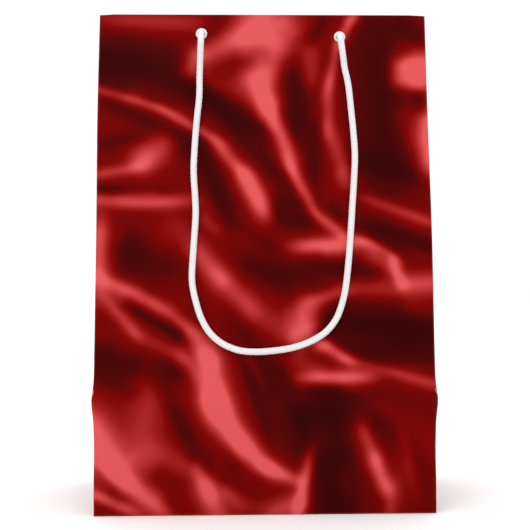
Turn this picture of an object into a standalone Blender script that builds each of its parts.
"""A standing paper gift bag with two rope handles.

Metres, +Z up, +X to the right of the front, the front faces -Y. The origin is the middle of the
bottom. The lower part is a square box. Above the base crease the front and back panels lean in,
and each gusset folds inward as one large triangle and two slim ones, so that every panel stays flat.
"""
import math

import bpy
from mathutils import Matrix, Vector

# Driving dimensions
WIDTH = 0.200             # outside, left to right
DEPTH = 0.100             # outside, front to back
CREASE_Z = 0.066          # the base crease, where the box stops and the panels start
PANEL_LENGTH = 0.2355     # from the base crease to the top edge, along the sheet
MOUTH_HALF_GAP = 0.018    # from the middle plane to a panel's top edge, as the bag stands
PAPER = 0.0003            # laminated art paper
CARD = 0.0005             # stiffener in the turned hem
BOARD = 0.0010            # loose base board
GAP = 0.0003              # air between pieces that touch

HEM = 0.040               # depth of the turned top edge
HEM_SHORT = 0.009         # the hem and its card stop this short of a side edge
FLAP_REACH = 0.064        # front and back bottom flaps, so that they overlap in the middle
SIDE_FLAP_REACH = 0.044
BOARD_INSET = 0.0025
SEAM_FLAP_START = 0.0055
SEAM_FLAP_END = 0.0190
CORNER_SETBACK = 0.0026   # a slim triangle starts this far from the edge that it folds along

HOLES = ((-0.0377, 0.2228), (0.0470, 0.2210))   # seen from the front: across, up from the crease
HOLE_RADIUS = 0.0030
EYELET_BORE = 0.0023
EYELET_BARREL = 0.0027
EYELET_FLANGE = 0.0037
EYELET_RIM = 0.0034
EYELET_SHEET = 0.0005
CORD_RADIUS = 0.0019
PIVOT_OUT = 0.0055        # the handle swings about a line this far in front of its panel
KNOT_RADIUS = 0.0050
KNOT_HALF = 0.0045
TAIL_LENGTH = 0.016
ROUND_STEPS = 20

# The handle's route down the front of its panel: across, up from the crease, out from the sheet
LIES = CORD_RADIUS + GAP
ROUTE = (
    (-0.0377, 0.2228, PIVOT_OUT), (-0.0379, 0.2160, 0.0046), (-0.0384, 0.2070, 0.0030),
    (-0.0387, 0.1950, LIES), (-0.0389, 0.1820, LIES), (-0.0404, 0.1670, LIES),
    (-0.0416, 0.1500, LIES), (-0.0421, 0.1360, LIES), (-0.0412, 0.1215, LIES),
    (-0.0408, 0.1100, LIES), (-0.0416, 0.0960, LIES), (-0.0424, 0.0840, LIES),
    (-0.0429, 0.0740, LIES), (-0.0424, 0.0665, LIES), (-0.0405, 0.0580, LIES),
    (-0.0374, 0.0484, LIES), (-0.0325, 0.0400, LIES), (-0.0255, 0.0337, LIES),
    (-0.0160, 0.0296, LIES), (-0.0060, 0.0285, LIES), (0.0050, 0.0291, LIES),
    (0.0160, 0.0308, LIES), (0.0263, 0.0343, LIES), (0.0352, 0.0396, LIES),
    (0.0415, 0.0470, LIES), (0.0453, 0.0560, LIES), (0.0479, 0.0670, LIES),
    (0.0500, 0.0840, LIES), (0.0515, 0.1010, LIES), (0.0526, 0.1150, LIES),
    (0.0539, 0.1310, LIES), (0.0547, 0.1460, LIES), (0.0541, 0.1600, LIES),
    (0.0529, 0.1750, LIES), (0.0515, 0.1900, LIES), (0.0499, 0.2040, 0.0030),
    (0.0486, 0.2130, 0.0044), (0.0470, 0.2210, PIVOT_OUT),
)
ROUTE_STEP = 0.0095

# What follows from them
HALF_W = WIDTH / 2
HALF_D = DEPTH / 2
LEAN = math.asin((HALF_D - MOUTH_HALF_GAP) / PANEL_LENGTH)
# The top of the gusset's middle stays half a depth from the top corner of each panel
SPREAD = (HALF_D ** 2 - MOUTH_HALF_GAP ** 2) / PANEL_LENGTH ** 2
GUSSET_LEAN = math.acos((1 + math.cos(LEAN) ** 2 - SPREAD) / (2 * math.cos(LEAN)))
SLIM_ANGLE = math.atan(HALF_D / PANEL_LENGTH)
HEM_CARD_OUT = -PAPER - GAP
HEM_OUT = HEM_CARD_OUT - CARD - GAP
HEM_BACK = HEM_OUT - PAPER


def clear_scene():
    for obj in list(bpy.data.objects):
        bpy.data.objects.remove(obj, do_unlink=True)
    for name in ("gift_bag", "cutters"):
        bpy.context.scene.collection.children.link(bpy.data.collections.new(name))


def paint(name, colour, roughness, metallic=0.0):
    material = bpy.data.materials.new(name)
    material.use_nodes = True
    shader = material.node_tree.nodes["Principled BSDF"]
    shader.inputs["Base Color"].default_value = (*colour, 1.0)
    shader.inputs["Roughness"].default_value = roughness
    shader.inputs["Metallic"].default_value = metallic
    return material


def add(name, data, material, parent, location=(0, 0, 0), collection="gift_bag"):
    """Put one piece in the scene, placed in its parent's frame."""
    obj = bpy.data.objects.new(name, data)
    bpy.data.collections[collection].objects.link(obj)
    if material:
        data.materials.append(material)
    obj.parent = parent
    obj.location = location
    return obj


def frame(name, origin, across, up):
    """An empty whose X runs across a sheet, Y up it and Z out of its printed side."""
    out = across.cross(up)
    empty = bpy.data.objects.new(name, None)
    bpy.data.collections["gift_bag"].objects.link(empty)
    turn = Matrix((across, up, out)).transposed().to_4x4()
    empty.matrix_world = Matrix.Translation(origin) @ turn
    return empty


def sheet(name, material, parent, outlines, face, thickness):
    """A flat piece of paper. Its outer face is `face` out of the parent's plane; extra outlines cut holes."""
    curve = bpy.data.curves.new(name, "CURVE")
    curve.dimensions = "2D"
    curve.fill_mode = "BOTH"
    curve.extrude = thickness / 2
    for outline in outlines:
        spline = curve.splines.new("POLY")
        spline.points.add(len(outline) - 1)
        for point, (x, y) in zip(spline.points, outline):
            point.co = (x, y, 0, 1)
        spline.use_cyclic_u = True
    return add(name, curve, material, parent, (0, 0, face - thickness / 2))


def rectangle(left, bottom, right, top):
    return ((left, bottom), (right, bottom), (right, top), (left, top))


def circle(centre, radius):
    turns = [2 * math.pi * i / ROUND_STEPS for i in range(ROUND_STEPS)]
    return [(centre[0] + radius * math.cos(a), centre[1] + radius * math.sin(a)) for a in turns]


def box(name, material, low, high):
    """A square-cornered piece of the lower box, from its lowest and highest corners."""
    low, high = Vector(low), Vector(high)
    bpy.ops.mesh.primitive_cube_add(size=1, location=(low + high) / 2)
    obj = bpy.context.object
    obj.name = name
    obj.scale = high - low
    bpy.ops.object.transform_apply(location=False, rotation=False, scale=True)
    obj.data.materials.append(material)
    for collection in list(obj.users_collection):
        collection.objects.unlink(obj)
    bpy.data.collections["gift_bag"].objects.link(obj)
    return obj


def turned(name, material, parent, location, profile, closed):
    """A round piece turned about the line out of the sheet, from (radius, out) points, top to bottom."""
    mesh = bpy.data.meshes.new(name)
    points = [(radius, 0, out) for radius, out in profile]
    edges = [(i, i + 1) for i in range(len(points) - 1)]
    if closed:
        edges.append((len(points) - 1, 0))
    mesh.from_pydata(points, edges, [])
    obj = add(name, mesh, material, parent, location)
    screw = obj.modifiers.new("turn", "SCREW")
    screw.axis = "Z"
    screw.steps = ROUND_STEPS
    screw.render_steps = ROUND_STEPS
    screw.use_merge_vertices = not closed
    screw.merge_threshold = 0.00001
    return obj


def smooth_route(points, step):
    """Points a step apart along a Catmull-Rom curve through the given ones."""
    points = [Vector(p) for p in points]
    ends = [2 * points[0] - points[1], *points, 2 * points[-1] - points[-2]]
    fine = []
    for a, b, c, d in zip(ends, ends[1:], ends[2:], ends[3:]):
        for k in range(8):
            t = k / 8
            bend = 2 * a - 5 * b + 4 * c - d
            twist = 3 * b - 3 * c + d - a
            fine.append(0.5 * (2 * b + (c - a) * t + bend * t ** 2 + twist * t ** 3))
    fine.append(points[-1])
    reach = [0.0]
    for a, b in zip(fine, fine[1:]):
        reach.append(reach[-1] + (b - a).length)
    count = round(reach[-1] / step)
    route, i = [], 0
    for k in range(count + 1):
        want = reach[-1] * k / count
        while i < len(fine) - 2 and reach[i + 1] < want:
            i += 1
        share = (want - reach[i]) / (reach[i + 1] - reach[i])
        route.append(fine[i].lerp(fine[i + 1], min(share, 1.0)))
    return route


def lower_box(print_paper, plain_paper, board):
    """The four walls below the crease, the folded bottom under them and the loose board on it."""
    top = CREASE_Z - GAP
    inner_w = HALF_W - PAPER - GAP
    inner_d = HALF_D - PAPER - GAP
    box("lower_front_wall", print_paper, (-HALF_W, -HALF_D, 0), (HALF_W, -HALF_D + PAPER, top))
    box("lower_back_wall", print_paper, (-HALF_W, HALF_D - PAPER, 0), (HALF_W, HALF_D, top))
    box("lower_left_wall", print_paper, (-HALF_W, -inner_d, 0), (-HALF_W + PAPER, inner_d, top))
    box("lower_right_wall", print_paper, (HALF_W - PAPER, -inner_d, 0), (HALF_W, inner_d, top))

    ply = PAPER + GAP
    reach = FLAP_REACH - HALF_D
    box("bottom_back_flap", print_paper, (-inner_w, -reach, 0), (inner_w, inner_d, PAPER))
    box("bottom_front_flap", print_paper, (-inner_w, -inner_d, ply), (inner_w, reach, ply + PAPER))
    floor = frame("floor", Vector((0, 0, 0)), Vector((1, 0, 0)), Vector((0, 1, 0)))
    for name, side in (("bottom_left_flap", -1), ("bottom_right_flap", 1)):
        tip = inner_w - SIDE_FLAP_REACH
        short = inner_d - SIDE_FLAP_REACH
        outline = [(side * inner_w, -inner_d), (side * inner_w, inner_d)]
        outline += [(side * tip, short), (side * tip, -short)]
        sheet(name, print_paper, floor, [outline], 2 * ply + PAPER, PAPER)
    base = 3 * ply
    wide, deep = HALF_W - BOARD_INSET, HALF_D - BOARD_INSET
    box("base_board", board, (-wide, -deep, base), (wide, deep, base + BOARD))
    seam_y = HALF_D - PAPER - GAP
    box("lower_seam_flap", plain_paper,
        (-HALF_W + SEAM_FLAP_START, seam_y - PAPER, base), (-HALF_W + SEAM_FLAP_END, seam_y, top))


def eyelet(name, metal, panel, hole):
    """A tubular eyelet: a domed flange outside, a barrel through the plies, a rolled rim inside."""
    face = GAP + EYELET_SHEET
    rim = HEM_BACK - GAP
    profile = (
        (EYELET_BORE, face), (EYELET_FLANGE - EYELET_SHEET, face), (EYELET_FLANGE, GAP + EYELET_SHEET / 2),
        (EYELET_FLANGE, GAP), (EYELET_BARREL, GAP), (EYELET_BARREL, rim), (EYELET_RIM, rim),
        (EYELET_RIM, rim - EYELET_SHEET), (EYELET_BORE, rim - EYELET_SHEET),
    )
    turned(name, metal, panel, (*hole, 0), profile, closed=True)


def knot(name, rope, panel, hole):
    """The stopper knot inside the bag, the cord through the eyelet and the knot's short tail."""
    stub_end = PIVOT_OUT - CORD_RADIUS - GAP
    start = HEM_BACK - GAP - EYELET_SHEET - GAP
    middle = start - KNOT_HALF
    profile = [(0, stub_end), (CORD_RADIUS, stub_end), (CORD_RADIUS, start)]
    for degrees in (35, 60, 90, 120, 150, 180):
        turn = math.radians(degrees)
        profile.append((KNOT_RADIUS * math.sin(turn), middle + KNOT_HALF * math.cos(turn)))
    profile[-1] = (0, profile[-1][1])
    obj = turned(name, rope, panel, (*hole, 0), profile, closed=False)
    bpy.ops.mesh.primitive_cylinder_add(vertices=12, radius=CORD_RADIUS, depth=TAIL_LENGTH)
    tail = bpy.context.object
    tail.name = name + "_tail_tool"
    for collection in list(tail.users_collection):
        collection.objects.unlink(tail)
    bpy.data.collections["cutters"].objects.link(tail)
    tail.hide_render = True
    tail.display_type = "WIRE"
    tail.parent = panel
    tail.rotation_euler = (math.radians(90), 0, 0)
    tail.location = (hole[0], hole[1] - TAIL_LENGTH / 2, middle)
    join = obj.modifiers.new("tail", "BOOLEAN")
    join.operation = "UNION"
    join.solver = "EXACT"
    join.object = tail


def handle(name, rope, panel, side):
    """One rope loop, hung from its two pivots in front of the panel."""
    first, last = (Vector((side * x, up, PIVOT_OUT)) for x, up in HOLES)
    pivot = bpy.data.objects.new(name + "_pivot", None)
    bpy.data.collections["gift_bag"].objects.link(pivot)
    pivot.parent = panel
    pivot.location = (first + last) / 2
    curve = bpy.data.curves.new(name, "CURVE")
    curve.dimensions = "3D"
    curve.bevel_depth = CORD_RADIUS
    curve.bevel_resolution = 2
    curve.use_fill_caps = True
    route = smooth_route([(side * x, up, out) for x, up, out in ROUTE], ROUTE_STEP)
    spline = curve.splines.new("POLY")
    spline.points.add(len(route) - 1)
    for point, place in zip(spline.points, route):
        point.co = (*(place - pivot.location), 1)
    add(name, curve, rope, pivot)


def face_panel(face, side, print_paper, plain_paper, card, metal, rope):
    """The front (side 1) or back (side -1) panel with its hem, eyelets, knots and handle."""
    across = Vector((side, 0, 0))
    up = Vector((0, side * math.sin(LEAN), math.cos(LEAN)))
    panel = frame(face + "_crease", Vector((0, -side * HALF_D, CREASE_Z)), across, up)
    holes = [(side * x, y) for x, y in HOLES]
    punched = [circle(hole, HOLE_RADIUS) for hole in holes]
    whole = rectangle(-HALF_W, GAP, HALF_W, PANEL_LENGTH)
    sheet(face + "_panel", print_paper, panel, [whole, *punched], 0, PAPER)
    wide = HALF_W - HEM_SHORT
    turned_in = rectangle(-wide, PANEL_LENGTH - HEM, wide, PANEL_LENGTH)
    stiffener = rectangle(-wide, PANEL_LENGTH - HEM + 0.002, wide, PANEL_LENGTH - 0.001)
    sheet(face + "_hem_card", card, panel, [stiffener, *punched], HEM_CARD_OUT, CARD)
    sheet(face + "_hem", print_paper, panel, [turned_in, *punched], HEM_OUT, PAPER)
    for word, hole in zip(("left", "right"), holes):
        eyelet(f"{face}_{word}_eyelet", metal, panel, hole)
        knot(f"{face}_{word}_knot", rope, panel, hole)
    handle(face + "_handle_cord", rope, panel, side)
    if face == "back":
        flap = rectangle(HALF_W - SEAM_FLAP_END, GAP, HALF_W - SEAM_FLAP_START, PANEL_LENGTH - HEM - 0.001)
        sheet("upper_seam_flap", plain_paper, panel, [flap], -PAPER - GAP, PAPER)


def slim_triangle(start, low, gap, turn):
    """The outline between a corner fold and the diagonal crease: `start` off the fold, above `low`."""
    slope = HALF_D / PANEL_LENGTH
    across = gap / math.cos(SLIM_ANGLE)
    lowest = max(low, (start + across + GAP) / slope)
    outline = [(start, lowest), (lowest * slope - across, lowest)]
    outline += [(PANEL_LENGTH * slope - across, PANEL_LENGTH), (start, PANEL_LENGTH)]
    return [(turn * x, y) for x, y in outline]


def gusset(word, side, print_paper):
    """One side of the bag above the crease: a large triangle and, at each face, a slim one with its hem."""
    crease = Vector((side * HALF_W, 0, CREASE_Z))
    across = Vector((0, side, 0))
    up = Vector((-side * math.sin(GUSSET_LEAN), 0, math.cos(GUSSET_LEAN)))
    middle = frame(word + "_gusset_crease", crease, across, up)
    inset = GAP / math.cos(SLIM_ANGLE)
    base = HALF_D - inset - GAP * math.tan(SLIM_ANGLE)
    shoulder = HALF_D - 3 * GAP
    shoulder_up = (base - shoulder) / math.tan(SLIM_ANGLE) + GAP
    tip = PANEL_LENGTH - GAP / math.sin(SLIM_ANGLE)
    shoulder_up = max(shoulder_up, 2 * GAP)
    outline = [(-shoulder, GAP), (shoulder, GAP), (shoulder, shoulder_up), (0, tip), (-shoulder, shoulder_up)]
    sheet(word + "_gusset_panel", print_paper, middle, [outline], 0, PAPER)

    apex = crease + up * PANEL_LENGTH
    for face, front in (("front", 1), ("back", -1)):
        bottom = Vector((side * HALF_W, -front * HALF_D, CREASE_Z))
        top = bottom + PANEL_LENGTH * Vector((0, front * math.sin(LEAN), math.cos(LEAN)))
        edge = (top - bottom).normalized()
        inward = (apex - top).normalized()
        turn = side * front
        fold = frame(f"{word}_{face}_fold", bottom, inward * turn, edge)

        facet = slim_triangle(CORNER_SETBACK, 0, GAP, turn)
        turned_in = slim_triangle(HEM_SHORT, PANEL_LENGTH - HEM, 2 * GAP, turn)
        sheet(f"{word}_{face}_gusset_facet", print_paper, fold, [facet], 0, PAPER)
        sheet(f"{word}_{face}_gusset_hem", print_paper, fold, [turned_in], -PAPER - GAP, PAPER)


def main():
    clear_scene()
    print_paper = paint("printed_paper", (0.55, 0.03, 0.03), 0.35)
    plain_paper = paint("plain_paper", (0.85, 0.84, 0.82), 0.7)
    card = paint("hem_card", (0.70, 0.68, 0.64), 0.8)
    board = paint("grey_board", (0.55, 0.54, 0.52), 0.85)
    metal = paint("white_eyelet", (0.80, 0.81, 0.80), 0.35, 0.3)
    rope = paint("white_cord", (0.85, 0.85, 0.87), 0.6)
    lower_box(print_paper, plain_paper, board)
    face_panel("front", 1, print_paper, plain_paper, card, metal, rope)
    face_panel("back", -1, print_paper, plain_paper, card, metal, rope)
    gusset("right", 1, print_paper)
    gusset("left", -1, print_paper)


main()
